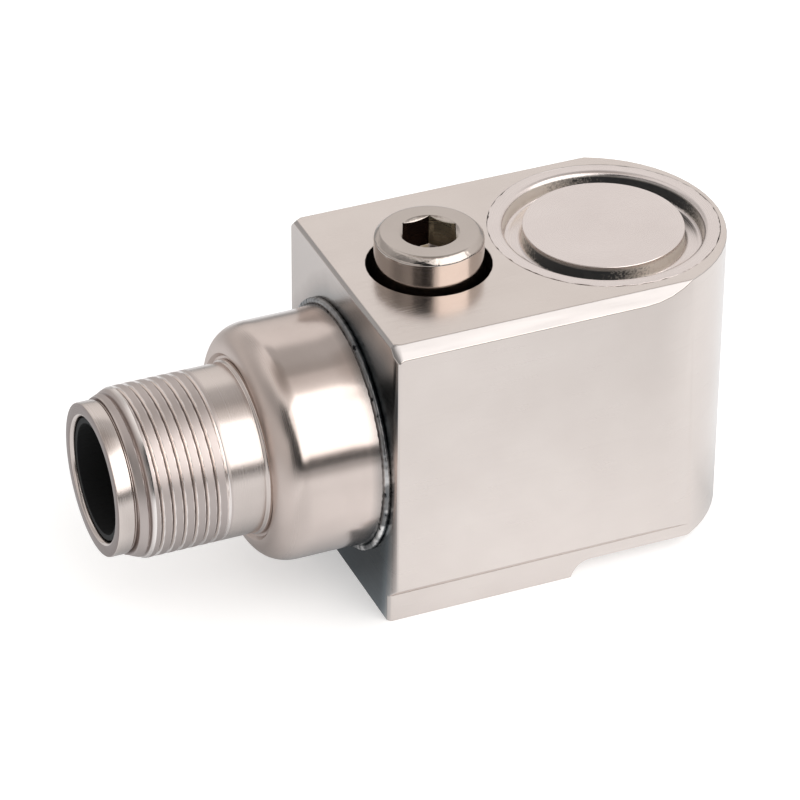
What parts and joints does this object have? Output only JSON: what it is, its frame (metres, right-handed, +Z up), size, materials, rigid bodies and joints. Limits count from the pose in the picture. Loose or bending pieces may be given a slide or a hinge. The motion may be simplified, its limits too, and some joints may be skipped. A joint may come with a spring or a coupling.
{
  "type": "vibration sensor",
  "caption": "Side-exit vibration sensor: a steel block with a half-round end, a captive socket-head bolt, a welded round lid, and a threaded connector on a short neck.",
  "frame": {"origin": "centre of the overall plan, on the plane of the foot", "axes": "+X along the length, from the connector towards the half-round end; +Z up, out of the lid; +Y across the width"},
  "size_m": [0.061, 0.0254, 0.0335],
  "materials": {
    "body_steel": "brushed stainless steel",
    "cap_steel": "turned stainless steel with a slight heat tint",
    "neck_steel": "satin turned stainless steel",
    "weld_steel": "rippled weld metal with a heat tint",
    "bolt_steel": "bright stainless steel",
    "moulding": "matt black moulding",
    "seal_rubber": "matt rubber",
    "contact_gold": "gold plated",
    "ceramic": "fired ceramic",
    "piezo": "silvered piezo ceramic",
    "mass_metal": "dark sintered heavy metal",
    "can_brass": "drawn brass",
    "board": "solder mask over glass-fibre laminate",
    "chip": "moulded chip package",
    "nylon": "natural nylon",
    "wire_red": "wire insulation",
    "wire_white": "wire insulation",
    "wire_black": "wire insulation"
  },
  "bodies": {
    "case": {"housing": "body_steel", "cap": "cap_steel", "neck": "neck_steel", "neck_weld": "weld_steel", "connector_shell": "body_steel", "connector_insert": "moulding", "insert_seal": "seal_rubber", "contact_pin_1": "contact_gold", "contact_pin_2": "contact_gold", "contact_pin_3": "contact_gold", "wire_1": "wire_red", "wire_2": "wire_white", "wire_3": "wire_black", "base_insulator": "ceramic", "sensing_post": "cap_steel", "piezo_plate_1": "piezo", "piezo_plate_2": "piezo", "piezo_plate_3": "piezo", "seismic_mass_1": "mass_metal", "seismic_mass_2": "mass_metal", "seismic_mass_3": "mass_metal", "preload_ring": "bolt_steel", "shield_can": "can_brass", "board_standoff_1": "nylon", "board_standoff_2": "nylon", "board_standoff_3": "nylon", "circuit_board": "board", "amplifier_chip": "chip", "temperature_sensor": "chip", "filter_capacitor": "bolt_steel"},
    "retaining_ring": {"bolt_retaining_ring": "nylon"},
    "captive_bolt": {"bolt": "bolt_steel"}
  },
  "joints": [
    {"name": "bolt_slide", "type": "slide", "parent": "case", "child": "retaining_ring", "axis": [0, 0, 1], "range_m": [-0.0072, 0.001]},
    {"name": "bolt_turn", "type": "hinge", "parent": "retaining_ring", "child": "captive_bolt", "pos_m": [0.0021, 0, 0.0275], "axis": [0, 0, 1], "continuous": true}
  ]
}
